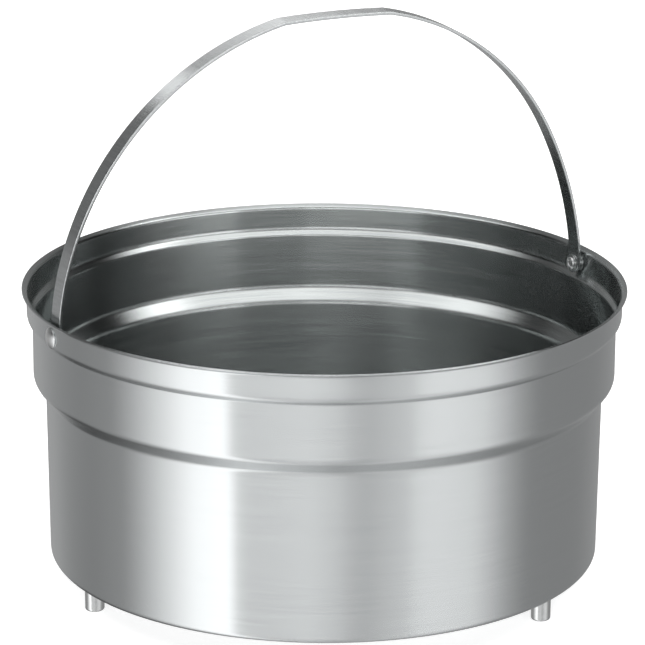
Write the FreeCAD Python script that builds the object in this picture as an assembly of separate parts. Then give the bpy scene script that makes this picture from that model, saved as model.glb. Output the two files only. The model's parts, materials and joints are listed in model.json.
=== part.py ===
"""Soup kettle: the stainless insert pot of a water-bath soup kettle, with its bail and feet.

Frame: +Z up, +X along the bail's pivot axis. The origin is the centre of the plane that the
feet stand on. Millimetres.
"""
import FreeCAD, Part
import math
import os

V = FreeCAD.Vector
X_AXIS = V(1, 0, 0)
Z_AXIS = V(0, 0, 1)
ORIGIN = V(0, 0, 0)

# Pot: one drawn and spun shell of even gauge. Radii are to the outer surface.
SHEET = 1.0
RIM_TOP = 186.6              # rim above the floor
LIP_RADIUS = 185.0
LIP_DROP = 1.7               # how far the flared lip falls from its edge to the upper band
UPPER_BAND_RADIUS = 182.0
MIDDLE_BAND_RADIUS = 178.5
BODY_TOP_RADIUS = 171.0
BODY_BOTTOM_RADIUS = 169.6
BASE_HEIGHT = 17.0           # underside of the base above the floor

# Depths of the shoulders below the rim: where each cone starts and ends.
UPPER_CONE_START = 17.2
UPPER_CONE_END = 20.3
LOWER_CONE_START = 55.5
LOWER_CONE_END = 64.0

# Bend radii on the outer surface.
LIP_BEND = 1.5
UPPER_SHOULDER_BEND = 5.0
UPPER_NECK_BEND = 0.8
LOWER_SHOULDER_BEND = 6.0
LOWER_NECK_BEND = 5.0
BASE_BEND = 3.6

# Bail: a flat strip bent in one plane, hung inside the rim on two rivets. Each side rises from the
# pivot in a chain of arcs, given by its radii and by the heights above the pivot where they join.
# The two sides differ a little, as they do on a bail bent by hand.
PIVOT_DEPTH = 10.6           # pivot axis below the rim
STRIP_WIDTH = 12.0
STRIP_THICKNESS = 2.0
STRIP_EDGE_ROUND = 0.45
STRIP_HALF_SPAN = 179.2      # outer face of the strip at the pivots
FLAT_END = 7.0               # straight length of strip above the pivot
RIGHT_RADII = (63.0, 243.0, 169.0)
RIGHT_JOINS = (17.0, 93.0)
RIGHT_GRIP_END = 37.5        # distance of the grip's right end from the middle
LEFT_RADII = (110.0, 186.5)
LEFT_JOINS = (21.0,)
LEFT_GRIP_END = 34.0
GRIP_CROWN = 1.0             # rise of the grip's middle over its ends
GRIP_BEND = 4.0              # outer radius of the bend at each end of the grip
BAIL_LEAN = 2.5              # degrees that the raised bail leans towards -Y

# Semi-tubular rivets: domed head outside, rolled end on a washer inside.
RIVET_SHANK_RADIUS = 3.0
RIVET_HEAD_RADIUS = 6.35
RIVET_HEAD_HEIGHT = 2.4
RIVET_HEAD_RIM = 0.5
STRIP_HOLE_CLEARANCE = 0.07  # radial, so that the strip turns on the rivet
ROLLED_END_RADIUS = 4.0
ROLLED_END_HEIGHT = 1.2
RIVET_BORE_RADIUS = 1.9
RIVET_BORE_DEPTH = 4.0
ROLL_NOTCHES = 4
ROLL_NOTCH_WIDTH = 0.5
ROLL_NOTCH_DEPTH = 0.7

# Washers on the rivets, either side of the strip.
SPACER_RADIUS = 5.0
BACKING_RADIUS = 5.5
BACKING_THICKNESS = 0.8
WASHER_EDGE_ROUND = 0.15
SIDE_PLAY = 0.25             # free gap between the strip and the washer on each side

# Feet: turned studs welded to the underside of the base.
FOOT_ANGLES = (180.0, 60.0, -60.0)
FOOT_CIRCLE_RADIUS = 156.0
FOOT_TOP_RADIUS = 6.1
FOOT_BOTTOM_RADIUS = 5.9
FOOT_EDGE_ROUND = 1.5

PIVOT_Z = RIM_TOP - PIVOT_DEPTH


def unit(vector):
    """The vector at length 1."""
    return vector * (1.0 / vector.Length)


def left_of(direction):
    """The direction turned a quarter turn anticlockwise in the XZ plane."""
    return V(-direction.z, 0, direction.x)


def turn_of(before, corner, after):
    """Signed turn of a path at a corner in the XZ plane: positive is anticlockwise."""
    coming = unit(corner - before)
    going = unit(after - corner)
    cross = coming.x * going.z - coming.z * going.x
    return math.atan2(cross, coming.dot(going))


def offset_points(points, distance):
    """The open path moved to its left by a distance, with mitred corners."""
    moved = []
    for index, point in enumerate(points):
        sides = []
        if index > 0:
            sides.append(left_of(unit(point - points[index - 1])))
        if index < len(points) - 1:
            sides.append(left_of(unit(points[index + 1] - point)))
        if len(sides) == 1:
            moved.append(point + sides[0] * distance)
        else:
            middle = unit(sides[0] + sides[1])
            moved.append(point + middle * (distance / middle.dot(sides[0])))
    return moved


def rounded_path(points, radii):
    """Edges along a path in the XZ plane, with an arc of the given radius at each inner corner."""
    edges = []
    start = points[0]
    for index in range(1, len(points) - 1):
        before, corner, after = points[index - 1], points[index], points[index + 1]
        turn = turn_of(before, corner, after)
        reach = radii[index - 1] * math.tan(abs(turn) / 2)
        arc_start = corner - unit(corner - before) * reach
        arc_end = corner + unit(after - corner) * reach
        inward = unit(unit(after - corner) - unit(corner - before))
        sagitta = radii[index - 1] * (1 / math.cos(turn / 2) - 1)
        edges.append(Part.LineSegment(start, arc_start).toShape())
        edges.append(Part.Arc(arc_start, corner + inward * sagitta, arc_end).toShape())
        start = arc_end
    edges.append(Part.LineSegment(start, points[-1]).toShape())
    return edges


def revolved(edges, axis_point, axis):
    """The solid that a closed outline sweeps in a full turn."""
    face = Part.Face(Part.Wire(Part.__sortEdges__(edges)))
    return face.revolve(axis_point, axis, 360)


def outline(points):
    """Straight edges through the points and back to the first."""
    return Part.makePolygon(points + [points[0]]).Edges


def x_cylinder(radius, start_x, end_x, height):
    """A cylinder along X between two stations, at a height."""
    return Part.makeCylinder(radius, end_x - start_x, V(start_x, 0, height), X_AXIS)


def mirrored(shape):
    """The shape's mirror image across the YZ plane."""
    return shape.mirror(ORIGIN, X_AXIS)


def pot_shell():
    """The drawn pot: flared lip, two shoulders, tapering body and flat base, with rivet holes."""
    lip_edge = V(LIP_RADIUS, 0, RIM_TOP - SHEET * 0.85)
    outer = [
        lip_edge,
        V(UPPER_BAND_RADIUS, 0, lip_edge.z - LIP_DROP),
        V(UPPER_BAND_RADIUS, 0, RIM_TOP - UPPER_CONE_START),
        V(MIDDLE_BAND_RADIUS, 0, RIM_TOP - UPPER_CONE_END),
        V(MIDDLE_BAND_RADIUS, 0, RIM_TOP - LOWER_CONE_START),
        V(BODY_TOP_RADIUS, 0, RIM_TOP - LOWER_CONE_END),
        V(BODY_BOTTOM_RADIUS, 0, BASE_HEIGHT),
        V(0, 0, BASE_HEIGHT),
    ]
    bends = [LIP_BEND, UPPER_SHOULDER_BEND, UPPER_NECK_BEND,
             LOWER_SHOULDER_BEND, LOWER_NECK_BEND, BASE_BEND]
    inner = offset_points(outer, -SHEET)
    inner_bends = []
    for index, bend in enumerate(bends):
        turn = turn_of(outer[index], outer[index + 1], outer[index + 2])
        inner_bends.append(bend - SHEET if turn < 0 else bend + SHEET)
    edges = rounded_path(outer, bends) + rounded_path(inner, inner_bends)
    edges.append(Part.LineSegment(outer[0], inner[0]).toShape())
    edges.append(Part.LineSegment(outer[-1], inner[-1]).toShape())
    shell = revolved(edges, ORIGIN, Z_AXIS)
    drill = x_cylinder(RIVET_SHANK_RADIUS, -LIP_RADIUS, LIP_RADIUS, PIVOT_Z)
    return shell.cut(drill)


def on_circle(centre, radius, angle):
    """A point on a circle in the XZ plane."""
    return centre + V(math.cos(angle), 0, math.sin(angle)) * radius


def angle_towards(centre, point):
    """The angle of a point about a centre in the XZ plane."""
    return math.atan2(point.z - centre.z, point.x - centre.x)


def circle_crossing(centre_a, radius_a, centre_b, radius_b):
    """The crossing of two circles in the XZ plane that lies further along +X."""
    between = centre_b - centre_a
    distance = between.Length
    along = (distance ** 2 + radius_a ** 2 - radius_b ** 2) / (2 * distance)
    across = math.sqrt(radius_a ** 2 - along ** 2)
    foot = centre_a + unit(between) * along
    side = left_of(unit(between)) * across
    return max(foot + side, foot - side, key=lambda point: point.x)


def flipped(point):
    """The point's mirror image across the YZ plane."""
    return V(-point.x, point.y, point.z)


def arc_edge(centre, radius, start, end):
    """An arc in the XZ plane between two angles."""
    ends = [on_circle(centre, radius, angle) for angle in (start, (start + end) / 2, end)]
    return Part.Arc(*ends).toShape()


def side_arcs(radii, joins):
    """(centre, radius, start angle) of each arc of the outer face, for a side drawn towards +X."""
    centre, angle = V(STRIP_HALF_SPAN - radii[0], 0, FLAT_END), 0.0
    arcs = [(centre, radii[0], angle)]
    for radius, following, join in zip(radii, radii[1:], joins):
        angle = math.asin((join - centre.z) / radius)
        centre = on_circle(centre, radius - following, angle)
        arcs.append((centre, following, angle))
    return arcs


def grip_end(radii, joins, reach):
    """The outer face's corner at an end of the grip, for a side drawn towards +X."""
    centre, radius, _ = side_arcs(radii, joins)[-1]
    return V(reach, 0, centre.z + math.sqrt(radius ** 2 - (reach - centre.x) ** 2))


def grip_circle():
    """Centre and radius of the grip's outer face, which rises over the line between its ends."""
    right = grip_end(RIGHT_RADII, RIGHT_JOINS, RIGHT_GRIP_END)
    left = flipped(grip_end(LEFT_RADII, LEFT_JOINS, LEFT_GRIP_END))
    half = (right - left).Length / 2
    radius = (half ** 2 + GRIP_CROWN ** 2) / (2 * GRIP_CROWN)
    down = left_of(unit(left - right))
    return (right + left) * 0.5 + down * (radius - GRIP_CROWN), radius


def side_edges(radii, joins, grip_centre, grip_radius, depth):
    """Edges of one side at a depth inside the outer face, drawn towards +X.

    Returns them with the bottom end and the point where the bend runs into the grip. The bend is
    concentric through the strip's thickness.
    """
    arcs = side_arcs(radii, joins)
    last_centre, last_radius, _ = arcs[-1]
    bend_centre = circle_crossing(last_centre, last_radius - GRIP_BEND,
                                  grip_centre, grip_radius - GRIP_BEND)
    side_stop = angle_towards(last_centre, bend_centre)
    grip_start = angle_towards(grip_centre, bend_centre)
    stops = [start for _, _, start in arcs[1:]] + [side_stop]
    bottom = V(STRIP_HALF_SPAN - depth, 0, -STRIP_WIDTH / 2)
    edges = [Part.LineSegment(bottom, V(bottom.x, 0, FLAT_END)).toShape()]
    for (centre, radius, start), stop in zip(arcs, stops):
        edges.append(arc_edge(centre, radius - depth, start, stop))
    edges.append(arc_edge(bend_centre, GRIP_BEND - depth, side_stop, grip_start))
    return edges, bottom, on_circle(grip_centre, grip_radius - depth, grip_start)


def bail_face_path(depth):
    """One face of the strip, a depth inside the outer face, with its two bottom ends.

    Heights are above the pivot axis.
    """
    centre, radius = grip_circle()
    right, right_bottom, right_start = side_edges(RIGHT_RADII, RIGHT_JOINS, centre, radius, depth)
    left, left_bottom, left_start = side_edges(LEFT_RADII, LEFT_JOINS, flipped(centre), radius,
                                               depth)
    left_start = flipped(left_start)
    grip = arc_edge(centre, radius - depth, angle_towards(centre, right_start),
                    angle_towards(centre, left_start))
    return right + [grip] + [mirrored(edge) for edge in left], right_bottom, flipped(left_bottom)


def bail():
    """The strip bail, bent round the opening, with round drilled ends and softened edges."""
    outer, *outer_bottoms = bail_face_path(0)
    inner, *inner_bottoms = bail_face_path(STRIP_THICKNESS)
    ends = [Part.LineSegment(*pair).toShape() for pair in zip(outer_bottoms, inner_bottoms)]
    face = Part.Face(Part.Wire(Part.__sortEdges__(outer + inner + ends)))
    face.translate(V(0, -STRIP_WIDTH / 2, 0))
    strip = face.extrude(V(0, STRIP_WIDTH, 0))
    reach = STRIP_HALF_SPAN + 1
    blank = Part.makeBox(2 * reach, STRIP_WIDTH, STRIP_WIDTH / 2,
                         V(-reach, -STRIP_WIDTH / 2, -STRIP_WIDTH / 2))
    round_end = x_cylinder(STRIP_WIDTH / 2, -reach, reach, 0)
    strip = strip.cut(blank.cut(round_end))
    hole = x_cylinder(RIVET_SHANK_RADIUS + STRIP_HOLE_CLEARANCE, -reach, reach, 0)
    strip = strip.cut(hole)
    long_edges = [edge for edge in strip.Edges if on_strip_side(edge)]
    strip = strip.makeFillet(STRIP_EDGE_ROUND, long_edges)
    strip.rotate(ORIGIN, X_AXIS, BAIL_LEAN)
    strip.translate(V(0, 0, PIVOT_Z))
    return strip


def on_strip_side(edge):
    """Whether an edge runs along one of the strip's two long sides."""
    box = edge.BoundBox
    return box.YLength < 0.01 and abs(abs(box.YMin) - STRIP_WIDTH / 2) < 0.01


def strip_faces():
    """X of the strip's outer and inner faces at the pivots."""
    return STRIP_HALF_SPAN, STRIP_HALF_SPAN - STRIP_THICKNESS


def washer(radius, inner_x, outer_x):
    """A flat washer on the rivet's shank, between two stations on the +X side."""
    disc = x_cylinder(radius, inner_x, outer_x, PIVOT_Z)
    ring = disc.cut(x_cylinder(RIVET_SHANK_RADIUS, inner_x, outer_x, PIVOT_Z))
    rims = [edge for edge in ring.Edges if abs(edge.BoundBox.YLength - 2 * radius) < 0.01]
    return ring.makeFillet(WASHER_EDGE_ROUND, rims)


def spacer_washer():
    """The washer that fills the space between the strip and the pot's curved wall."""
    seat_radius = SPACER_RADIUS - WASHER_EDGE_ROUND
    wall_x = math.sqrt((UPPER_BAND_RADIUS - SHEET) ** 2 - seat_radius ** 2)
    return washer(SPACER_RADIUS, strip_faces()[0] + SIDE_PLAY, wall_x)


def backing_washer():
    """The washer between the strip and the rivet's rolled end."""
    outer_x = strip_faces()[1] - SIDE_PLAY
    return washer(BACKING_RADIUS, outer_x - BACKING_THICKNESS, outer_x)


def rivet():
    """The rivet on the +X side: a solid of revolution about the pivot axis."""
    seat_x = UPPER_BAND_RADIUS
    roll_x = strip_faces()[1] - SIDE_PLAY - BACKING_THICKNESS
    end_x = roll_x - ROLLED_END_HEIGHT
    bore_x = end_x + RIVET_BORE_DEPTH
    roll_round = ROLLED_END_HEIGHT * 0.6

    def at(x, radius):
        return V(x, 0, PIVOT_Z + radius)

    rim = at(seat_x + RIVET_HEAD_RIM, RIVET_HEAD_RADIUS)
    crown = at(seat_x + RIVET_HEAD_HEIGHT, 0)
    cap_height = RIVET_HEAD_HEIGHT - RIVET_HEAD_RIM
    cap_radius = (RIVET_HEAD_RADIUS ** 2 + cap_height ** 2) / (2 * cap_height)
    cap_centre_x = seat_x + RIVET_HEAD_HEIGHT - cap_radius
    half_angle = math.asin(RIVET_HEAD_RADIUS / cap_radius) / 2
    cap_middle = at(cap_centre_x + cap_radius * math.cos(half_angle),
                    cap_radius * math.sin(half_angle))
    roll_middle = at(end_x + roll_round * (1 - math.sqrt(0.5)),
                     ROLLED_END_RADIUS - roll_round * (1 - math.sqrt(0.5)))
    edges = [
        Part.Arc(crown, cap_middle, rim).toShape(),
        Part.LineSegment(rim, at(seat_x, RIVET_HEAD_RADIUS)).toShape(),
        Part.LineSegment(at(seat_x, RIVET_HEAD_RADIUS), at(seat_x, RIVET_SHANK_RADIUS)).toShape(),
        Part.LineSegment(at(seat_x, RIVET_SHANK_RADIUS), at(roll_x, RIVET_SHANK_RADIUS)).toShape(),
        Part.LineSegment(at(roll_x, RIVET_SHANK_RADIUS), at(roll_x, ROLLED_END_RADIUS)).toShape(),
        Part.LineSegment(at(roll_x, ROLLED_END_RADIUS),
                         at(end_x + roll_round, ROLLED_END_RADIUS)).toShape(),
        Part.Arc(at(end_x + roll_round, ROLLED_END_RADIUS), roll_middle,
                 at(end_x, ROLLED_END_RADIUS - roll_round)).toShape(),
        Part.LineSegment(at(end_x, ROLLED_END_RADIUS - roll_round),
                         at(end_x + RIVET_BORE_RADIUS / 4, RIVET_BORE_RADIUS)).toShape(),
        Part.LineSegment(at(end_x + RIVET_BORE_RADIUS / 4, RIVET_BORE_RADIUS),
                         at(bore_x, RIVET_BORE_RADIUS)).toShape(),
        Part.LineSegment(at(bore_x, RIVET_BORE_RADIUS),
                         at(bore_x + RIVET_BORE_RADIUS / 2, 0)).toShape(),
        Part.LineSegment(at(bore_x + RIVET_BORE_RADIUS / 2, 0), crown).toShape(),
    ]
    body = revolved(edges, V(0, 0, PIVOT_Z), X_AXIS)
    for step in range(ROLL_NOTCHES):
        notch = Part.makeBox(ROLL_NOTCH_DEPTH, ROLL_NOTCH_WIDTH, ROLLED_END_RADIUS,
                             V(end_x, -ROLL_NOTCH_WIDTH / 2, PIVOT_Z + RIVET_BORE_RADIUS / 2))
        notch.rotate(V(0, 0, PIVOT_Z), X_AXIS, 45 + step * 360 / ROLL_NOTCHES)
        body = body.cut(notch)
    return body


def foot(angle):
    """One stud foot, standing on the floor at an angle round the base."""
    profile = [
        V(0, 0, 0),
        V(FOOT_BOTTOM_RADIUS, 0, 0),
        V(FOOT_TOP_RADIUS, 0, BASE_HEIGHT),
        V(0, 0, BASE_HEIGHT),
    ]
    stud = revolved(outline(profile), ORIGIN, Z_AXIS)
    floor_edges = [edge for edge in stud.Edges
                   if edge.BoundBox.ZMax < 0.01 and edge.BoundBox.XLength > FOOT_BOTTOM_RADIUS]
    stud = stud.makeFillet(FOOT_EDGE_ROUND, floor_edges)
    stud.translate(V(FOOT_CIRCLE_RADIUS, 0, 0))
    stud.rotate(ORIGIN, Z_AXIS, angle)
    return stud


def main():
    os.makedirs("parts", exist_ok=True)
    nodes = {"pot_shell": pot_shell(), "bail": bail()}
    pivot_pieces = {"rivet": rivet(), "spacer_washer": spacer_washer(),
                    "backing_washer": backing_washer()}
    for name, shape in pivot_pieces.items():
        nodes[name + "_right"] = shape
        nodes[name + "_left"] = mirrored(shape)
    for index, angle in enumerate(FOOT_ANGLES):
        nodes["foot_" + str(index + 1)] = foot(angle)
    for name, shape in nodes.items():
        solid = shape.Solids[0]
        print(name, "valid", solid.isValid(), "solids", len(shape.Solids),
              "volume_cm3", round(solid.Volume / 1000, 3))
        solid.exportStep("parts/" + name + ".step")


main()
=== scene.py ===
import json
import math

import bmesh
import bpy
from mathutils import Matrix, Vector


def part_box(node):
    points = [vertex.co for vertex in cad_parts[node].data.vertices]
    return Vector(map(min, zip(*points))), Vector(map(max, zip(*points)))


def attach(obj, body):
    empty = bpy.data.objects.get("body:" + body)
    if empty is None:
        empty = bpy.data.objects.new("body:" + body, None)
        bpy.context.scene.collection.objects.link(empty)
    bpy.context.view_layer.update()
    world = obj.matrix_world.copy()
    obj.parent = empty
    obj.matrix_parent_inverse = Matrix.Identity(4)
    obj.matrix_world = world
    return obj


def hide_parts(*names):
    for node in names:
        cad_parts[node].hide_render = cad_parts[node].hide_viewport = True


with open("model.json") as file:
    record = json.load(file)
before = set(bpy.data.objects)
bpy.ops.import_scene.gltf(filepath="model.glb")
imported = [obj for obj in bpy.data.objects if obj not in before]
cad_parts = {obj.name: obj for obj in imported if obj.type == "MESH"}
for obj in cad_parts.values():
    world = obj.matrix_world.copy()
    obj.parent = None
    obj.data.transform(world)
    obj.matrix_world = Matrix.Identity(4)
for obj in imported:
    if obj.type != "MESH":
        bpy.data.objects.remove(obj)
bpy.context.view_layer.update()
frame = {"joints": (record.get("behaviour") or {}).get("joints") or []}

MM = 0.001
WELD_DISTANCE = 1e-7
SIDES = {"right": 1, "left": -1}

# Where the CAD pieces are.
POT_LOW, POT_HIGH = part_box("pot_shell")
PIVOT = Vector(frame["joints"][0]["pos_m"])
LIP_RADIUS = POT_HIGH.x
RIM_TOP = POT_HIGH.z
BASE_HEIGHT = POT_LOW.z

# Pot profile, metres. Radii are to the outer surface; depths are below the rim.
SHEET = 1.0 * MM
LIP_DROP = 1.7 * MM
UPPER_BAND_RADIUS = LIP_RADIUS - 3.0 * MM
MIDDLE_BAND_RADIUS = LIP_RADIUS - 6.5 * MM
BODY_TOP_RADIUS = LIP_RADIUS - 14.0 * MM
BODY_BOTTOM_RADIUS = LIP_RADIUS - 15.4 * MM
UPPER_CONE = (17.2 * MM, 20.3 * MM)
LOWER_CONE = (55.5 * MM, 64.0 * MM)
POT_BENDS = [bend * MM for bend in (1.5, 5.0, 0.8, 6.0, 5.0, 3.6)]
LIP_EDGE_ROUND = 0.3 * MM
LIP_EDGE_DEPTH = 0.85 * SHEET
POT_SEGMENTS = 288

# The inside is the faces that look towards the axis, and those that look up near the base. It gets
# a darker copy of the steel, as painted shade.
INWARD_NORMAL = -0.2
UPWARD_NORMAL = 0.5
BASE_BEND_REACH = 5.0 * MM

# Bail strip, metres. Heights are above the pivot axis, before the lean. A side is the radii of its
# chain of arcs, the heights where they join and the distance of the grip's end from the middle. The
# grip rises a hair less than the CAD's, so that this mesh stays inside the CAD box.
STRIP_WIDTH = 12.0 * MM
STRIP_THICKNESS = 2.0 * MM
STRIP_ROUND = 0.45 * MM
STRIP_HALF_SPAN = 179.2 * MM
FLAT_END = 7.0 * MM
RIGHT_SIDE = ((63.0 * MM, 243.0 * MM, 169.0 * MM), (17.0 * MM, 93.0 * MM), 37.5 * MM)
LEFT_SIDE = ((110.0 * MM, 186.5 * MM), (21.0 * MM,), 34.0 * MM)
GRIP_CROWN = 0.98 * MM
GRIP_BEND = 4.0 * MM
BAIL_LEAN = math.radians(2.5)
ARC_SPACING = 2.2 * MM
BEND_SPACING = 0.5 * MM
# Columns across the strip's flat faces, as shares of their half width.
FACE_SHARES = (-1, -0.94, -0.6, -0.2, 0.2, 0.6, 0.94, 1)
CORNER_STEPS = 4

# The strip's drilled ends. Side shares are places up the straight sides, and ring shares are places
# from the outline in to the hole.
HOLE_RADIUS = 3.07 * MM
HOLE_CHAMFER = 0.15 * MM
END_ARC_STEPS = 24
END_SIDE_SHARES = (1, 0.75, 0.5, 0.25)
HOLE_RING_SHARES = (0.35, 0.7, 0.92, 1.0)

# Rivets. The bends are those of rivet_profile's corners, from the bore out to the head's rim.
HEAD_RADIUS = 6.35 * MM
HEAD_HEIGHT = 2.4 * MM
HEAD_RIM = 0.5 * MM
SHANK_RADIUS = 3.0 * MM
ROLL_RADIUS = 4.0 * MM
ROLL_HEIGHT = 1.2 * MM
ROLL_BORE = 1.9 * MM
ROLL_DEPTH = 4.0 * MM
RIVET_BENDS = [bend * MM for bend in (0.3, 0.7, 0.8, 0.15, 0.1, 0.1, 0.18)]
RIVET_SEGMENTS = 96
DOME_STEPS = 20
SPLIT_COUNT = 4
SPLIT_REACH = 0.9 * MM
SPLIT_HALF_WIDTH = 0.42 * MM
SPLIT_DEPTH = 0.55 * MM

# Washers and feet.
WASHER_ROUND = 0.15 * MM
FOOT_TAPER = 0.2 * MM
FOOT_ROUND = 1.5 * MM
SMALL_SEGMENTS = 72

# Camera: it looks at the middle of the rim from the front left.
CAMERA_AZIMUTH = math.radians(-27.5)
CAMERA_ELEVATION = math.radians(16.435)
CAMERA_ROLL = math.radians(0.30)
CAMERA_DISTANCE = 2.2353
CAMERA_LENS = 203.9
CAMERA_SHIFT = (-0.0031, -0.0627)


def new_object(name, bm, material):
    """An object from a bmesh, smooth shaded, with one material."""
    mesh = bpy.data.meshes.new(name)
    bmesh.ops.remove_doubles(bm, verts=bm.verts, dist=WELD_DISTANCE)
    bmesh.ops.recalc_face_normals(bm, faces=bm.faces)
    for face in bm.faces:
        face.smooth = True
    bm.to_mesh(mesh)
    bm.free()
    obj = bpy.data.objects.new(name, mesh)
    obj.data.materials.append(material)
    bpy.context.scene.collection.objects.link(obj)
    return obj


# Profiles -------------------------------------------------------------------------------------

def left_of(direction):
    """The direction turned a quarter turn anticlockwise."""
    return Vector((-direction.y, direction.x))


def turn_of(before, corner, after):
    """Signed turn of a flat path at a corner: positive is anticlockwise."""
    coming = (corner - before).normalized()
    going = (after - corner).normalized()
    return math.atan2(coming.x * going.y - coming.y * going.x, coming.dot(going))


def offset_points(points, distance):
    """The open path moved to its left by a distance, with mitred corners."""
    moved = []
    for index, point in enumerate(points):
        sides = []
        if index > 0:
            sides.append(left_of((point - points[index - 1]).normalized()))
        if index < len(points) - 1:
            sides.append(left_of((points[index + 1] - point).normalized()))
        middle = sum(sides, Vector((0, 0))).normalized()
        moved.append(point + middle * (distance / middle.dot(sides[0])))
    return moved


def corner_arc(before, corner, after, radius, steps):
    """Points of the arc that rounds a path's corner, or the corner itself for a radius of 0."""
    if radius <= 0:
        return [corner]
    turn = turn_of(before, corner, after)
    start = corner + (before - corner).normalized() * (radius * math.tan(abs(turn) / 2))
    side = math.copysign(1, turn)
    centre = start + left_of((corner - before).normalized()) * (radius * side)
    spoke = start - centre
    arc = []
    for step in range(steps + 1):
        cosine, sine = math.cos(turn * step / steps), math.sin(turn * step / steps)
        arc.append(centre + Vector((spoke.x * cosine - spoke.y * sine,
                                    spoke.x * sine + spoke.y * cosine)))
    return arc


def rounded(points, radii, steps=8, margin=0.4 * MM, spacing=12 * MM):
    """Points along a path with arcs at its inner corners, and close points beside each arc."""
    runs = [[points[0]]]
    for index, radius in enumerate(radii):
        runs.append(corner_arc(*points[index:index + 3], radius, steps))
    runs.append([points[-1]])
    path = [points[0]]
    for run, following in zip(runs, runs[1:]):
        start, end = run[-1], following[0]
        length = (end - start).length
        if length > 3 * margin:
            inner = [margin]
            count = max(1, round((length - 2 * margin) / spacing))
            for step in range(1, count):
                inner.append(margin + (length - 2 * margin) * step / count)
            inner.append(length - margin)
            path += [start.lerp(end, at / length) for at in inner]
        path += following
    return path


def lathe(profile, segments, name, material, to_world=Matrix.Identity(4), shape=None):
    """A surface of revolution about Z from (radius, height) points.

    shape, where given, moves a profile point by its angle round the axis.
    """
    bm = bmesh.new()
    rings = []
    for point in profile:
        if point.x < WELD_DISTANCE:
            rings.append([bm.verts.new(to_world @ Vector((0, 0, point.y)))])
            continue
        ring = []
        for step in range(segments):
            angle = 2 * math.pi * step / segments
            at = shape(point, angle) if shape else point
            ring.append(bm.verts.new(to_world @ Vector((at.x * math.cos(angle),
                                                        at.x * math.sin(angle), at.y))))
        rings.append(ring)
    for lower, upper in zip(rings, rings[1:]):
        for step in range(segments):
            after = (step + 1) % segments
            corners = [lower[step % len(lower)], lower[after % len(lower)],
                       upper[after % len(upper)], upper[step % len(upper)]]
            distinct = list(dict.fromkeys(corners))
            if len(distinct) > 2:
                bm.faces.new(distinct)
    return new_object(name, bm, material)


# Materials ------------------------------------------------------------------------------------

# The grain: how fast it changes along its own lines, next to across them, and how its finer and
# coarser noise and the slow cloud over it are mixed.
TURNED_GRAIN_RATE = 0.02
STRIP_GRAIN_RATE = 0.05
COARSE_SCALE_SHARE = 0.22
FINE_SHARE = 0.65
COARSE_SHARE = 0.35
STREAK_SHARE = 0.85
CLOUD_SHARE = 0.15
CLOUD_SCALE = 9.0
NOISE_LOW = 0.3
NOISE_HIGH = 0.7


class Nodes:
    """Short calls for building the node tree of a material or a world."""

    def __init__(self, owner, output):
        owner.use_nodes = True
        self.owner = owner
        self.tree = owner.node_tree
        self.tree.nodes.clear()
        self.surface = self.add(output).inputs["Surface"]

    def add(self, kind, **settings):
        node = self.tree.nodes.new(kind)
        for key, value in settings.items():
            setattr(node, key, value)
        return node

    def link(self, source, target):
        self.tree.links.new(source, target)

    def math(self, operation, first, second=None):
        node = self.add("ShaderNodeMath", operation=operation)
        for socket, value in zip(node.inputs, (first, second)):
            if value is None:
                continue
            if isinstance(value, (int, float)):
                socket.default_value = value
            else:
                self.link(value, socket)
        return node.outputs[0]

    def place(self):
        return self.add("ShaderNodeTexCoord").outputs["Object"]

    def noise(self, vector, scale, detail, roughness):
        node = self.add("ShaderNodeTexNoise")
        node.inputs["Scale"].default_value = scale
        node.inputs["Detail"].default_value = detail
        node.inputs["Roughness"].default_value = roughness
        self.link(vector, node.inputs["Vector"])
        return node.outputs["Fac"]

    def ramp(self, value, stops):
        """A colour ramp from (position, grey or colour) stops."""
        node = self.add("ShaderNodeValToRGB")
        elements = node.color_ramp.elements
        while len(elements) < len(stops):
            elements.new(0.5)
        for element, (position, colour) in zip(elements, stops):
            element.position = position
            if isinstance(colour, (int, float)):
                colour = (colour, colour, colour)
            element.color = (*colour, 1)
        self.link(value, node.inputs["Fac"])
        return node.outputs["Color"]


def material_nodes(name):
    return Nodes(bpy.data.materials.new(name), "ShaderNodeOutputMaterial")


def around_z(n):
    """Coordinates that change fast along a turned profile and slowly round the Z axis."""
    parts = n.add("ShaderNodeSeparateXYZ")
    n.link(n.place(), parts.inputs[0])
    x, y, z = parts.outputs
    radius = n.math("SQRT", n.math("ADD", n.math("MULTIPLY", x, x), n.math("MULTIPLY", y, y)))
    joined = n.add("ShaderNodeCombineXYZ")
    n.link(n.math("MULTIPLY", x, TURNED_GRAIN_RATE), joined.inputs[0])
    n.link(n.math("MULTIPLY", y, TURNED_GRAIN_RATE), joined.inputs[1])
    n.link(n.math("ADD", z, radius), joined.inputs[2])
    return joined.outputs[0]


def across_strip(n):
    """Coordinates that change fast in the XZ plane and slowly along Y."""
    mapping = n.add("ShaderNodeMapping")
    mapping.inputs["Scale"].default_value = (1, STRIP_GRAIN_RATE, 1)
    n.link(n.place(), mapping.inputs["Vector"])
    return mapping.outputs[0]


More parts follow.
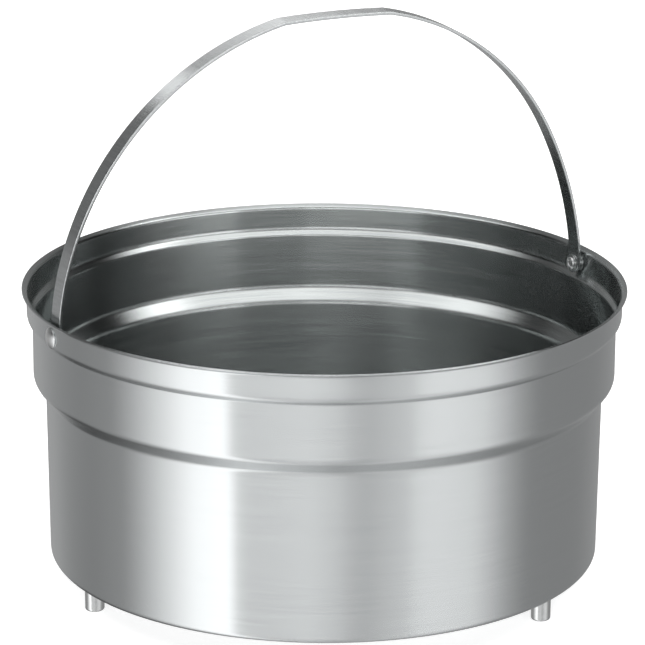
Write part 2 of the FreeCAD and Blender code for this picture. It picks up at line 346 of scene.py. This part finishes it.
def steel(name, grain_vector, dark, light, rough, grain_scale, bump_height, turned=False):
    """Stainless steel whose grain follows the given coordinates.

    Tone runs from dark to light and roughness over its range with the grain, and a slow cloud adds
    to the tone. Turned steel stretches its highlights along Z, across its grain.
    """
    n = material_nodes(name)
    vector = grain_vector(n)
    coarse = n.noise(vector, grain_scale * COARSE_SCALE_SHARE, detail=3.0, roughness=0.6)
    fine = n.noise(vector, grain_scale, detail=3.0, roughness=0.7)
    cloud = n.noise(n.place(), CLOUD_SCALE, detail=2.0, roughness=0.5)
    streaks = n.math("ADD", n.math("MULTIPLY", fine, FINE_SHARE),
                     n.math("MULTIPLY", coarse, COARSE_SHARE))
    tone = n.math("ADD", n.math("MULTIPLY", streaks, STREAK_SHARE),
                  n.math("MULTIPLY", cloud, CLOUD_SHARE))
    colour = n.ramp(tone, [(NOISE_LOW, dark), (NOISE_HIGH, light)])
    roughness = n.ramp(streaks, [(NOISE_LOW, rough[0]), (NOISE_HIGH, rough[1])])
    shader = n.add("ShaderNodeBsdfPrincipled")
    n.link(colour, shader.inputs["Base Color"])
    n.link(roughness, shader.inputs["Roughness"])
    shader.inputs["Metallic"].default_value = 1.0
    if turned:
        shader.inputs["Anisotropic"].default_value = 1.0
        shader.inputs["Anisotropic Rotation"].default_value = 0.25
        tangent = n.add("ShaderNodeTangent", direction_type="RADIAL", axis="Z")
        n.link(tangent.outputs["Tangent"], shader.inputs["Tangent"])
    bump = n.add("ShaderNodeBump")
    bump.inputs["Strength"].default_value = 1.0
    bump.inputs["Distance"].default_value = bump_height
    n.link(fine, bump.inputs["Height"])
    n.link(bump.outputs["Normal"], shader.inputs["Normal"])
    n.link(shader.outputs["BSDF"], n.surface)
    return n.owner


POT_STEEL = steel("pot_steel", around_z, (0.60, 0.62, 0.625), (0.65, 0.67, 0.675), (0.22, 0.25),
                  1400.0, 0.01 * MM, turned=True)
# The inside steel is the pot's steel made darker: painted shade that darkens the inside of the pot.
INSIDE_SHADED_STEEL = steel("pot_inside_shaded_steel", around_z, (0.42, 0.44, 0.44), (0.58, 0.605, 0.60),
                     (0.20, 0.24), 1100.0, 0.01 * MM, turned=True)
BAIL_STEEL = steel("bail_steel", across_strip, (0.50, 0.515, 0.52), (0.68, 0.70, 0.705),
                   (0.20, 0.28), 900.0, 0.04 * MM)
# The rivet steel is lighter than the pot's: a painted highlight that brightens the rivet heads.
RIVET_HIGHLIGHT_STEEL = steel("rivet_highlight_steel", Nodes.place, (0.78, 0.79, 0.79), (0.86, 0.87, 0.87),
                    (0.34, 0.42), 300.0, 0.02 * MM)
WASHER_STEEL = steel("washer_steel", Nodes.place, (0.50, 0.51, 0.51), (0.62, 0.63, 0.63),
                     (0.26, 0.34), 400.0, 0.02 * MM)
FOOT_STEEL = steel("foot_steel", Nodes.place, (0.60, 0.61, 0.61), (0.70, 0.71, 0.71),
                   (0.20, 0.28), 500.0, 0.02 * MM)


# Pot ------------------------------------------------------------------------------------------

def pot_profile():
    """The sheet's closed outline, from the middle of the underside out, up and back down inside."""
    lip_edge = Vector((LIP_RADIUS, RIM_TOP - LIP_EDGE_DEPTH))
    outer = [
        lip_edge,
        Vector((UPPER_BAND_RADIUS, lip_edge.y - LIP_DROP)),
        Vector((UPPER_BAND_RADIUS, RIM_TOP - UPPER_CONE[0])),
        Vector((MIDDLE_BAND_RADIUS, RIM_TOP - UPPER_CONE[1])),
        Vector((MIDDLE_BAND_RADIUS, RIM_TOP - LOWER_CONE[0])),
        Vector((BODY_TOP_RADIUS, RIM_TOP - LOWER_CONE[1])),
        Vector((BODY_BOTTOM_RADIUS, BASE_HEIGHT)),
        Vector((0, BASE_HEIGHT)),
    ]
    inner = offset_points(outer, -SHEET)
    inner_bends = []
    for index, bend in enumerate(POT_BENDS):
        turn = turn_of(*outer[index:index + 3])
        inner_bends.append(bend - SHEET if turn < 0 else bend + SHEET)
    radii = POT_BENDS[::-1] + [LIP_EDGE_ROUND, LIP_EDGE_ROUND] + inner_bends
    return rounded(outer[::-1] + inner, radii)


def faces_inward(face):
    """Whether a face of the pot's mesh is on the inside of its wall or base."""
    outward = Vector((face.center.x, face.center.y, 0)).normalized()
    near_base = face.center.z < BASE_HEIGHT + BASE_BEND_REACH
    on_base = near_base and face.normal.z > UPWARD_NORMAL
    return on_base or face.normal.dot(outward) < INWARD_NORMAL


def make_pot():
    """The drawn pot shell, with its inside in a darker copy of its steel, as painted shade."""
    pot = lathe(pot_profile(), POT_SEGMENTS, "pot", POT_STEEL)
    pot.data.materials.append(INSIDE_SHADED_STEEL)
    for face in pot.data.polygons:
        face.material_index = 1 if faces_inward(face) else 0
    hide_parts("pot_shell")
    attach(pot, "pot")


# Bail -----------------------------------------------------------------------------------------

def circle_crossing(centre_a, radius_a, centre_b, radius_b):
    """The crossing of two circles that lies furthest to the right."""
    between = centre_b - centre_a
    distance = between.length
    along = (distance ** 2 + radius_a ** 2 - radius_b ** 2) / (2 * distance)
    across = math.sqrt(radius_a ** 2 - along ** 2)
    foot = centre_a + between.normalized() * along
    side = left_of(between.normalized()) * across
    return max(foot + side, foot - side, key=lambda point: point.x)


def on_circle(centre, radius, angle):
    return centre + Vector((math.cos(angle), math.sin(angle))) * radius


def angle_towards(centre, point):
    return math.atan2(point.y - centre.y, point.x - centre.x)


def flipped(point):
    """The point's mirror image across the Z axis."""
    return Vector((-point.x, point.y))


def side_arcs(side):
    """(centre, radius, start angle) of each arc of the outer face, for a side drawn towards +X."""
    radii, joins, _ = side
    centre, angle = Vector((STRIP_HALF_SPAN - radii[0], FLAT_END)), 0.0
    arcs = [(centre, radii[0], angle)]
    for radius, following, join in zip(radii, radii[1:], joins):
        angle = math.asin((join - centre.y) / radius)
        centre = on_circle(centre, radius - following, angle)
        arcs.append((centre, following, angle))
    return arcs


def grip_end(side):
    """The outer face's corner at an end of the grip, for a side drawn towards +X."""
    centre, radius, _ = side_arcs(side)[-1]
    reach = side[2]
    return Vector((reach, centre.y + math.sqrt(radius ** 2 - (reach - centre.x) ** 2)))


def grip_circle():
    """Centre and radius of the grip's outer face, which rises over the line between its ends."""
    right, left = grip_end(RIGHT_SIDE), flipped(grip_end(LEFT_SIDE))
    half = (right - left).length / 2
    radius = (half ** 2 + GRIP_CROWN ** 2) / (2 * GRIP_CROWN)
    down = left_of((left - right).normalized())
    return (right + left) * 0.5 + down * (radius - GRIP_CROWN), radius


def arc_line(centre, radius, start, end, spacing=ARC_SPACING):
    """(point, outward normal) pairs along an arc, without its first."""
    steps = math.ceil(abs(end - start) * radius / spacing)
    line = []
    for step in range(1, steps + 1):
        angle = start + (end - start) * step / steps
        line.append((on_circle(centre, radius, angle), on_circle(Vector((0, 0)), 1, angle)))
    return line


def side_line(side, grip_centre, grip_radius):
    """The strip's middle up one side and round the bend, and the angle where the grip starts."""
    depth = STRIP_THICKNESS / 2
    arcs = side_arcs(side)
    last_centre, last_radius, _ = arcs[-1]
    bend_centre = circle_crossing(last_centre, last_radius - GRIP_BEND,
                                  grip_centre, grip_radius - GRIP_BEND)
    side_stop = angle_towards(last_centre, bend_centre)
    grip_start = angle_towards(grip_centre, bend_centre)
    stops = [start for _, _, start in arcs[1:]] + [side_stop]
    straight = Vector((STRIP_HALF_SPAN - depth, STRIP_WIDTH / 2))
    line = [(straight, Vector((1, 0))), (Vector((straight.x, FLAT_END)), Vector((1, 0)))]
    for (centre, radius, start), stop in zip(arcs, stops):
        line += arc_line(centre, radius - depth, start, stop)
    line += arc_line(bend_centre, GRIP_BEND - depth, side_stop, grip_start, BEND_SPACING)
    return line, grip_start


def strip_line():
    """(point, outward normal) pairs along the strip's middle, from the right end to the left."""
    centre, radius = grip_circle()
    right, right_start = side_line(RIGHT_SIDE, centre, radius)
    left, left_start = side_line(LEFT_SIDE, flipped(centre), radius)
    grip = arc_line(centre, radius - STRIP_THICKNESS / 2, right_start, math.pi - left_start)
    return right + grip + [(flipped(point), flipped(normal)) for point, normal in left[-2::-1]]


def face_stations():
    """Places across the strip's flat faces, from edge to edge."""
    flat = STRIP_WIDTH / 2 - STRIP_ROUND
    return [flat * share for share in FACE_SHARES]


def strip_section():
    """The strip's cross section: (across, out) points once round, from the outer face."""
    out = STRIP_THICKNESS / 2
    inset = out - STRIP_ROUND
    face = face_stations()

    def corner(across, height, start):
        points = []
        for step in range(CORNER_STEPS + 1):
            angle = math.radians(start - 90 * step / CORNER_STEPS)
            points.append((across + STRIP_ROUND * math.cos(angle),
                           height + STRIP_ROUND * math.sin(angle)))
        return points

    ring = [(across, out) for across in face[:-1]]
    ring += corner(face[-1], inset, 90) + corner(face[-1], -inset, 0)
    ring += [(across, -out) for across in face[-2:0:-1]]
    ring += corner(face[0], -inset, -90) + corner(face[0], inset, -180)
    return ring[:-1]


def build_strip(bm, place):
    """Lofts the strip's section along its line."""
    ring = strip_section()
    loops = []
    for point, normal in strip_line():
        loop = []
        for across, out in ring:
            at = point + normal * out
            loop.append(bm.verts.new(place(at.x, across, at.y)))
        loops.append(loop)
    for first, second in zip(loops, loops[1:]):
        bridge(bm, first, second)


def bridge(bm, first, second):
    """Joins two closed rings of vertices with quads."""
    for index in range(len(first)):
        after = (index + 1) % len(first)
        bm.faces.new([first[index], first[after], second[after], second[index]])


def end_outline():
    """(up, across, normal up, normal across) down one side of the end, round it and up again."""
    half = STRIP_WIDTH / 2
    outline = [(half * share, half, 0.0, 1.0) for share in END_SIDE_SHARES]
    for step in range(END_ARC_STEPS + 1):
        angle = math.pi * step / END_ARC_STEPS
        outline.append((-half * math.sin(angle), half * math.cos(angle),
                        -math.sin(angle), math.cos(angle)))
    return outline + [(half * share, -half, 0.0, -1.0) for share in END_SIDE_SHARES[::-1]]


def build_end(bm, place, side):
    """The strip's drilled round end below the loft, on one side."""
    half = STRIP_WIDTH / 2
    out = STRIP_THICKNESS / 2
    outline = end_outline()

    def vertex(up, across, height):
        return bm.verts.new(place(side * (STRIP_HALF_SPAN - out + height), across, up))

    # The rounded edge, as a column of vertices through the thickness at each outline point.
    columns = []
    for up, across, normal_up, normal_across in outline:
        column = []
        for start, base in ((90, out - STRIP_ROUND), (0, STRIP_ROUND - out)):
            for step in range(CORNER_STEPS + 1):
                angle = math.radians(start - 90 * step / CORNER_STEPS)
                inset = STRIP_ROUND * (1 - math.cos(angle))
                column.append(vertex(up - normal_up * inset, across - normal_across * inset,
                                     base + STRIP_ROUND * math.sin(angle)))
        columns.append(column)
    for first, second in zip(columns, columns[1:]):
        for index in range(len(first) - 1):
            bm.faces.new([first[index], second[index], second[index + 1], first[index + 1]])

    # Each flat face, from its border in to the hole and down the hole's chamfer.
    spots = [(up - normal_up * STRIP_ROUND, across - normal_across * STRIP_ROUND)
             for up, across, normal_up, normal_across in outline]
    top_row = face_stations()[1:-1]
    spots += [(half, across) for across in top_row]
    angles = [math.atan2(across, up) for up, across in spots]
    hole_rings = []
    for row, height in ((0, out), (-1, -out)):
        border = [column[row] for column in columns]
        border += [vertex(half, across, height) for across in top_row]
        rings = [border]
        for share in HOLE_RING_SHARES:
            ring = []
            for (up, across), angle in zip(spots, angles):
                hole_up = (HOLE_RADIUS + HOLE_CHAMFER) * math.cos(angle)
                hole_across = (HOLE_RADIUS + HOLE_CHAMFER) * math.sin(angle)
                ring.append(vertex(up + (hole_up - up) * share,
                                   across + (hole_across - across) * share, height))
            rings.append(ring)
        chamfer_height = height - math.copysign(HOLE_CHAMFER, height)
        rings.append([vertex(HOLE_RADIUS * math.cos(angle), HOLE_RADIUS * math.sin(angle),
                             chamfer_height) for angle in angles])
        for first, second in zip(rings, rings[1:]):
            bridge(bm, first, second)
        hole_rings.append(rings[-1])
    bridge(bm, *hole_rings)


def make_bail():
    """The bent strip with its two drilled ends, raised and leaning a little towards -Y."""
    lean = Matrix.Translation(PIVOT) @ Matrix.Rotation(BAIL_LEAN, 4, "X")

    def place(x, across, up):
        return lean @ Vector((x, across, up))

    bm = bmesh.new()
    build_strip(bm, place)
    for side in SIDES.values():
        build_end(bm, place, side)
    bail = new_object("bail_strip", bm, BAIL_STEEL)
    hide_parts("bail")
    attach(bail, "bail")
    return bail


# Rivets, washers and feet -----------------------------------------------------------------------

def along_x(side):
    """Turns a lathe's Z axis to the pivot axis, pointing out through the wall on one side."""
    return Matrix.Translation(PIVOT) @ Matrix.Rotation(side * math.pi / 2, 4, "Y")


def rivet_profile(end, crown):
    """The rivet's outline from its rolled end's bore, round the roll, to the crown of its head."""
    seat = crown - HEAD_HEIGHT
    path = [
        Vector((0, end + ROLL_DEPTH + ROLL_BORE / 2)),
        Vector((ROLL_BORE, end + ROLL_DEPTH)),
        Vector((ROLL_BORE, end)),
        Vector((ROLL_RADIUS, end)),
        Vector((ROLL_RADIUS, end + ROLL_HEIGHT)),
        Vector((SHANK_RADIUS, end + ROLL_HEIGHT)),
        Vector((SHANK_RADIUS, seat)),
        Vector((HEAD_RADIUS, seat)),
        Vector((HEAD_RADIUS, seat + HEAD_RIM)),
    ]
    points = rounded(path, RIVET_BENDS, steps=6, margin=0.08 * MM, spacing=1.2 * MM)
    points.pop()
    cap = HEAD_HEIGHT - HEAD_RIM
    cap_radius = (HEAD_RADIUS ** 2 + cap ** 2) / (2 * cap)
    half = math.asin(HEAD_RADIUS / cap_radius)
    for step in range(DOME_STEPS + 1):
        angle = half * (1 - step / DOME_STEPS)
        points.append(Vector((cap_radius * math.sin(angle),
                              crown - cap_radius + cap_radius * math.cos(angle))))
    points[-1].x = 0
    return points


def make_rivet(name, side):
    """A domed rivet through the wall, rolled over inside."""
    low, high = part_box("rivet_" + name)
    end, crown = sorted((abs(low.x), abs(high.x)))

    def split_roll(point, angle):
        """Opens short radial splits in the rolled end, where the tube parted as it was rolled."""
        if point.y >= end + SPLIT_REACH:
            return point
        spacing = 2 * math.pi / SPLIT_COUNT
        turn = (angle - spacing / 2) % spacing
        off = min(turn, spacing - turn) * point.x
        depth = max(0.0, 1 - (off / SPLIT_HALF_WIDTH) ** 2) * SPLIT_DEPTH
        return Vector((point.x, point.y + depth * (1 - (point.y - end) / SPLIT_REACH)))

    rivet = lathe(rivet_profile(end, crown), RIVET_SEGMENTS, "rivet_" + name + "_piece",
                  RIVET_HIGHLIGHT_STEEL, along_x(side), split_roll)
    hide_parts("rivet_" + name)
    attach(rivet, "pot")


def make_washer(node, side):
    """A flat washer round a rivet's shank, as thick and as wide as its CAD piece."""
    low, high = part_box(node)
    inner, outer = sorted((abs(low.x), abs(high.x)))
    radius = (high.z - low.z) / 2
    path = [Vector((SHANK_RADIUS, inner)), Vector((radius, inner)),
            Vector((radius, outer)), Vector((SHANK_RADIUS, outer))]
    points = rounded(path, [WASHER_ROUND, WASHER_ROUND], steps=4, margin=0.06 * MM,
                     spacing=1.5 * MM)
    points.append(points[0].copy())
    washer = lathe(points, SMALL_SEGMENTS, node + "_piece", WASHER_STEEL, along_x(side))
    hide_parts(node)
    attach(washer, "pot")


def make_foot(node):
    """A turned stud foot between the ground and the base."""
    low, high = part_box(node)
    centre = (low + high) / 2
    top_radius = (high.x - low.x) / 2
    path = [Vector((0, 0)), Vector((top_radius - FOOT_TAPER, 0)),
            Vector((top_radius, BASE_HEIGHT)), Vector((0, BASE_HEIGHT))]
    points = rounded(path, [FOOT_ROUND, 0.0], margin=0.3 * MM, spacing=3 * MM)
    to_world = Matrix.Translation(Vector((centre.x, centre.y, 0)))
    foot = lathe(points, SMALL_SEGMENTS, node + "_piece", FOOT_STEEL, to_world)
    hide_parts(node)
    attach(foot, "pot")


# Studio ---------------------------------------------------------------------------------------

FLOOR_HALF_SIZE = 14.0
FLOOR_GLOW = 0.72
BACKDROP_RADIUS = 13.5
BACKDROP_GLOW = 1.0

# Studio light as the steel sees it. Each band is (lowest elevation, highest elevation, stops), and
# each stop is (heading, level). Headings are degrees round from the camera, positive to its right.
LIGHT_BANDS = [
    # The floor of the sweep, close by.
    (-90, -34, [(-180, 0.45), (-160, 0.20), (-145, 0.04), (-125, 0.10), (-108, 0.35), (-90, 0.42),
                (-79, 0.78), (-66, 1.30), (-54, 1.80), (-38.5, 1.80), (-35.5, 0.76), (-22, 0.76),
                (-6, 0.84), (4, 0.72), (18, 0.56), (30, 0.72), (44, 0.86), (64, 0.93), (78, 0.64),
                (92, 0.38), (130, 0.30), (180, 0.45)]),
    # The sweep further off, with a soft box on the left.
    (-24, -1, [(-180, 0.40), (-150, 0.46), (-130, 0.38), (-110, 0.36), (-90, 0.42), (-79, 0.78),
               (-66, 1.30), (-54, 1.80), (-38.5, 1.80), (-35.5, 0.72), (-22, 0.76), (-6, 0.84),
               (4, 0.72), (18, 0.56), (30, 0.72), (44, 0.86), (64, 0.93), (78, 0.60), (92, 0.36),
               (130, 0.32), (180, 0.40)]),
    # The far side of the room, seen from inside the pot over its rim.
    (2, 17, [(-180, 0.30), (-150, 0.25), (-130, 0.25), (-100, 0.02), (-60, 0.05), (-46, 0.45),
             (-36, 2.10), (-20, 2.80), (7.5, 2.65), (9.5, 1.75), (34.5, 1.75), (36, 3.40),
             (46, 3.30), (58, 2.40), (70, 1.60), (82, 0.30), (92, 0.0), (180, 0.30)]),
    # The dark gap under the hanging panels.
    (24, 40, [(-180, 0.40), (-150, 0.20), (-130, 0.20), (-110, 0.0), (130, 0.0), (180, 0.40)]),
    # Two hanging panels, left and right.
    (46, 54, [(-180, 0.40), (-135, 0.10), (-114, 0.60), (-105, 2.2), (-75, 3.2), (-45, 2.2),
              (-30, 0.2), (25, 0.2), (45, 1.3), (75, 2.2), (86, 3.8), (112, 3.8), (122, 0.3),
              (180, 0.40)]),
    # The panel in front, higher up.
    (58, 64, [(-180, 0.30), (-125, 0.50), (-105, 1.1), (-75, 1.2), (-45, 1.7), (-15, 2.5),
              (15, 3.2), (45, 2.6), (75, 1.8), (105, 1.4), (135, 0.5), (180, 0.30)]),
    # The panel overhead.
    (70, 90, [(-180, 1.4), (180, 1.4)]),
]
# Ramps hold values up to 1, so levels are scaled down in them and up again at the background.
BRIGHTEST = 5.0

# Soft lights behind that only the bail catches: heading, elevation, width, height and level. The
# heading is as in LIGHT_BANDS, and they are this far from a point on the bail's left side.
BAIL_LIGHTS = [(-141, 32, 0.24, 0.22, 1.3), (-174, 27, 0.86, 0.34, 0.75)]
BAIL_LIGHT_DISTANCE = 1.3
BAIL_LIGHT_TARGET = Vector((-90 * MM, 0, 330 * MM))
WATTS_PER_LEVEL = 4.0        # power of a square metre of area light for each unit of its level


def direction_at(azimuth, elevation):
    """The unit direction at an azimuth and elevation. Azimuth 0 is along -Y."""
    return Vector((math.sin(azimuth) * math.cos(elevation),
                   -math.cos(azimuth) * math.cos(elevation), math.sin(elevation)))


def emission(n, strength):
    """A white glow's shader output."""
    glow = n.add("ShaderNodeEmission")
    glow.inputs["Color"].default_value = (1, 1, 1, 1)
    glow.inputs["Strength"].default_value = strength
    return glow.outputs[0]


def make_floor():
    """The white floor, which the steel reflects only through the world's light."""
    bm = bmesh.new()
    bmesh.ops.create_grid(bm, x_segments=24, y_segments=24, size=FLOOR_HALF_SIZE)
    n = material_nodes("floor_white")
    diffuse = n.add("ShaderNodeBsdfDiffuse")
    diffuse.inputs["Color"].default_value = (0.8, 0.8, 0.8, 1)
    both = n.add("ShaderNodeAddShader")
    n.link(diffuse.outputs[0], both.inputs[0])
    n.link(emission(n, FLOOR_GLOW), both.inputs[1])
    n.link(both.outputs[0], n.surface)
    floor = new_object("floor", bm, n.owner)
    floor.visible_glossy = False


def make_backdrop():
    """The white surround, which only the camera sees."""
    bm = bmesh.new()
    bmesh.ops.create_uvsphere(bm, u_segments=48, v_segments=24, radius=BACKDROP_RADIUS)
    n = material_nodes("backdrop_white")
    n.link(emission(n, BACKDROP_GLOW), n.surface)
    backdrop = new_object("backdrop", bm, n.owner)
    for ray in ("visible_diffuse", "visible_glossy", "visible_transmission", "visible_shadow"):
        setattr(backdrop, ray, False)


def make_world():
    """The studio light: each band's ramp of levels round the headings, mixed by elevation."""
    world = bpy.data.worlds.new("studio")
    bpy.context.scene.world = world
    n = Nodes(world, "ShaderNodeOutputWorld")
    parts = n.add("ShaderNodeSeparateXYZ")
    n.link(n.add("ShaderNodeTexCoord").outputs["Generated"], parts.inputs[0])
    x, y, z = parts.outputs
    front = math.atan2(-math.cos(CAMERA_AZIMUTH), math.sin(CAMERA_AZIMUTH))
    heading = n.math("WRAP", n.math("SUBTRACT", n.math("ARCTAN2", y, x), front), math.pi)
    heading.node.inputs[2].default_value = -math.pi
    share = n.math("ADD", n.math("MULTIPLY", heading, 0.5 / math.pi), 0.5)
    rise = n.math("ADD", n.math("MULTIPLY", n.math("ARCSINE", z), 1 / math.pi), 0.5)
    light, below = None, None
    for lowest, highest, stops in LIGHT_BANDS:
        band = n.ramp(share, [((angle + 180) / 360, level / BRIGHTEST) for angle, level in stops])
        if light is None:
            light = band
        else:
            mix = n.add("ShaderNodeMix", data_type="RGBA")
            change = [(0.5 + below / 180, 0.0), (0.5 + lowest / 180, 1.0)]
            # A mix node of this kind has its colours at inputs 6 and 7 and output 2.
            n.link(n.ramp(rise, change), mix.inputs[0])
            n.link(light, mix.inputs[6])
            n.link(band, mix.inputs[7])
            light = mix.outputs[2]
        below = highest
    background = n.add("ShaderNodeBackground")
    n.link(light, background.inputs["Color"])
    background.inputs["Strength"].default_value = BRIGHTEST
    n.link(background.outputs[0], n.surface)


def make_bail_lights(bail):
    """The soft lights behind, linked so that only the bail receives them."""
    receivers = bpy.data.collections.new("bail_light_receivers")
    receivers.objects.link(bail)
    for index, (heading, elevation, width, height, level) in enumerate(BAIL_LIGHTS):
        away = direction_at(CAMERA_AZIMUTH + math.radians(heading), math.radians(elevation))
        data = bpy.data.lights.new("bail_light_" + str(index + 1), "AREA")
        data.shape = "RECTANGLE"
        data.size = width
        data.size_y = height
        data.energy = WATTS_PER_LEVEL * width * height * level
        light = bpy.data.objects.new(data.name, data)
        light.location = BAIL_LIGHT_TARGET + away * BAIL_LIGHT_DISTANCE
        light.rotation_euler = away.to_track_quat("Z", "Y").to_euler()
        light.light_linking.receiver_collection = receivers
        bpy.context.scene.collection.objects.link(light)


def make_camera():
    """The camera, at its distance from the middle of the rim and turned by its small roll."""
    back = direction_at(CAMERA_AZIMUTH, CAMERA_ELEVATION)
    data = bpy.data.cameras.new("camera")
    data.sensor_width = 36.0
    data.lens = CAMERA_LENS
    data.shift_x, data.shift_y = CAMERA_SHIFT
    data.clip_start = 0.1
    data.clip_end = 60.0
    camera = bpy.data.objects.new("camera", data)
    bpy.context.scene.collection.objects.link(camera)
    place = Matrix.Translation(Vector((0, 0, RIM_TOP)) + back * CAMERA_DISTANCE)
    aim = (-back).to_track_quat("-Z", "Y").to_matrix().to_4x4()
    camera.matrix_world = place @ aim @ Matrix.Rotation(CAMERA_ROLL, 4, "Z")
    bpy.context.scene.camera = camera


make_pot()
bail_strip = make_bail()
for side_name, sign in SIDES.items():
    make_rivet(side_name, sign)
    make_washer("spacer_washer_" + side_name, sign)
    make_washer("backing_washer_" + side_name, sign)
for number in (1, 2, 3):
    make_foot("foot_" + str(number))
make_floor()
make_backdrop()
make_world()
make_bail_lights(bail_strip)
make_camera()
bpy.context.scene.view_settings.view_transform = "Standard"
